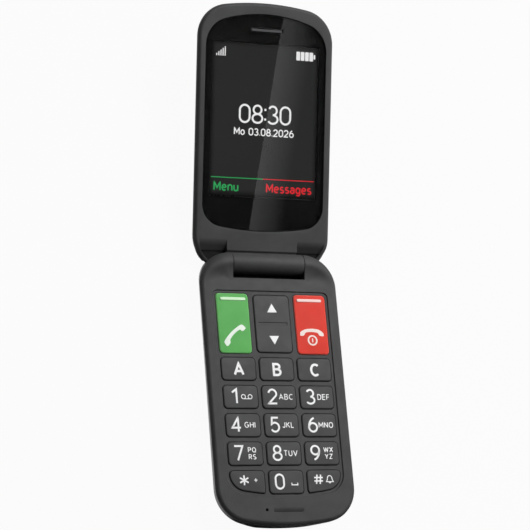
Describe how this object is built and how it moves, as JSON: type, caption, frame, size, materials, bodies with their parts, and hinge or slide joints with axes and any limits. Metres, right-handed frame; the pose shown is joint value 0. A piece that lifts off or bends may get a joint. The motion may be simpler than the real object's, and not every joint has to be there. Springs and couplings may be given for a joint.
{
  "type": "flip phone",
  "caption": "Flip phone shown open: a keypad base with call, end and navigation keys, and a lid with a display, joined by a barrel hinge with a cam cartridge.",
  "frame": {"origin": "middle of the base's flat back, on the battery cover", "axes": "+X to the right across the phone, +Y along the base towards the lid, +Z out of the keypad face"},
  "size_m": [0.0564, 0.199, 0.0325],
  "materials": {
    "housing": "fine moulded texture",
    "rear_shell": "fine moulded texture",
    "key_plastic": "smooth satin",
    "key_green": "smooth satin",
    "key_red": "smooth satin",
    "lens": "clear acrylic over a black border, polished",
    "display": "lit panel under the lens",
    "adhesive": "foam tape",
    "steel": "plain",
    "mesh": "fine woven mesh",
    "board": "solder resist",
    "flex": "film",
    "cell": "wrapped cell",
    "contact_metal": "plated",
    "mat_rubber": "moulded silicone",
    "black_part": "moulded",
    "card": "smooth",
    "antenna_carrier": "printed film on a carrier"
  },
  "bodies": {
    "base": {"base_front_housing": "housing", "base_rear_housing": "rear_shell", "battery_cover": "rear_shell", "battery": "cell", "battery_contacts": "contact_metal", "main_board": "board", "dome_switches": "contact_metal", "keypad_mat": "mat_rubber", "microphone": "steel", "loudspeaker": "black_part", "vibration_motor": "steel", "usb_socket": "steel", "sim_reader": "steel", "sim_card": "card", "antenna": "antenna_carrier", "hall_sensor": "black_part", "base_screws": "steel", "hinge_pivot": "steel", "hinge_shaft": "steel", "base_flex": "flex"},
    "lid": {"lid_front_housing": "housing", "lid_rear_housing": "rear_shell", "display_lens": "lens", "lens_adhesive": "adhesive", "display_module": "display", "display_tray": "steel", "lid_board": "board", "earpiece": "steel", "earpiece_mesh": "mesh", "lid_magnet": "steel", "lid_screws": "steel", "hinge_cartridge": "steel", "hinge_spring": "steel", "lid_flex": "flex"},
    "rocker": {"key_rocker": "key_plastic"},
    "call_key": {"key_call": "key_green"},
    "end_key": {"key_end": "key_red"},
    "a_key": {"key_a": "key_plastic"},
    "b_key": {"key_b": "key_plastic"},
    "c_key": {"key_c": "key_plastic"},
    "1_key": {"key_1": "key_plastic"},
    "2_key": {"key_2": "key_plastic"},
    "3_key": {"key_3": "key_plastic"},
    "4_key": {"key_4": "key_plastic"},
    "5_key": {"key_5": "key_plastic"},
    "6_key": {"key_6": "key_plastic"},
    "7_key": {"key_7": "key_plastic"},
    "8_key": {"key_8": "key_plastic"},
    "9_key": {"key_9": "key_plastic"},
    "star_key": {"key_star": "key_plastic"},
    "0_key": {"key_0": "key_plastic"},
    "hash_key": {"key_hash": "key_plastic"}
  },
  "joints": [
    {"name": "lid_hinge", "type": "hinge", "parent": "base", "child": "lid", "pos_m": [0, 0.0481, 0.01005], "axis": [1, 0, 0], "range_deg": [0, 165]},
    {"name": "rocker_tilt", "type": "hinge", "parent": "base", "child": "rocker", "pos_m": [0, 0.02345, 0.01018], "axis": [1, 0, 0], "range_deg": [-1.8, 1.8], "stiffness_Nm_per_rad": 0.4},
    {"name": "key_call_press", "type": "slide", "parent": "base", "child": "call_key", "axis": [0, 0, -1], "range_m": [0, 0.0004], "stiffness_N_per_m": 1500},
    {"name": "key_end_press", "type": "slide", "parent": "base", "child": "end_key", "axis": [0, 0, -1], "range_m": [0, 0.0004], "stiffness_N_per_m": 1500},
    {"name": "key_a_press", "type": "slide", "parent": "base", "child": "a_key", "axis": [0, 0, -1], "range_m": [0, 0.0004], "stiffness_N_per_m": 1500},
    {"name": "key_b_press", "type": "slide", "parent": "base", "child": "b_key", "axis": [0, 0, -1], "range_m": [0, 0.0004], "stiffness_N_per_m": 1500},
    {"name": "key_c_press", "type": "slide", "parent": "base", "child": "c_key", "axis": [0, 0, -1], "range_m": [0, 0.0004], "stiffness_N_per_m": 1500},
    {"name": "key_1_press", "type": "slide", "parent": "base", "child": "1_key", "axis": [0, 0, -1], "range_m": [0, 0.0004], "stiffness_N_per_m": 1500},
    {"name": "key_2_press", "type": "slide", "parent": "base", "child": "2_key", "axis": [0, 0, -1], "range_m": [0, 0.0004], "stiffness_N_per_m": 1500},
    {"name": "key_3_press", "type": "slide", "parent": "base", "child": "3_key", "axis": [0, 0, -1], "range_m": [0, 0.0004], "stiffness_N_per_m": 1500},
    {"name": "key_4_press", "type": "slide", "parent": "base", "child": "4_key", "axis": [0, 0, -1], "range_m": [0, 0.0004], "stiffness_N_per_m": 1500},
    {"name": "key_5_press", "type": "slide", "parent": "base", "child": "5_key", "axis": [0, 0, -1], "range_m": [0, 0.0004], "stiffness_N_per_m": 1500},
    {"name": "key_6_press", "type": "slide", "parent": "base", "child": "6_key", "axis": [0, 0, -1], "range_m": [0, 0.0004], "stiffness_N_per_m": 1500},
    {"name": "key_7_press", "type": "slide", "parent": "base", "child": "7_key", "axis": [0, 0, -1], "range_m": [0, 0.0004], "stiffness_N_per_m": 1500},
    {"name": "key_8_press", "type": "slide", "parent": "base", "child": "8_key", "axis": [0, 0, -1], "range_m": [0, 0.0004], "stiffness_N_per_m": 1500},
    {"name": "key_9_press", "type": "slide", "parent": "base", "child": "9_key", "axis": [0, 0, -1], "range_m": [0, 0.0004], "stiffness_N_per_m": 1500},
    {"name": "key_star_press", "type": "slide", "parent": "base", "child": "star_key", "axis": [0, 0, -1], "range_m": [0, 0.0004], "stiffness_N_per_m": 1500},
    {"name": "key_0_press", "type": "slide", "parent": "base", "child": "0_key", "axis": [0, 0, -1], "range_m": [0, 0.0004], "stiffness_N_per_m": 1500},
    {"name": "key_hash_press", "type": "slide", "parent": "base", "child": "hash_key", "axis": [0, 0, -1], "range_m": [0, 0.0004], "stiffness_N_per_m": 1500}
  ]
}
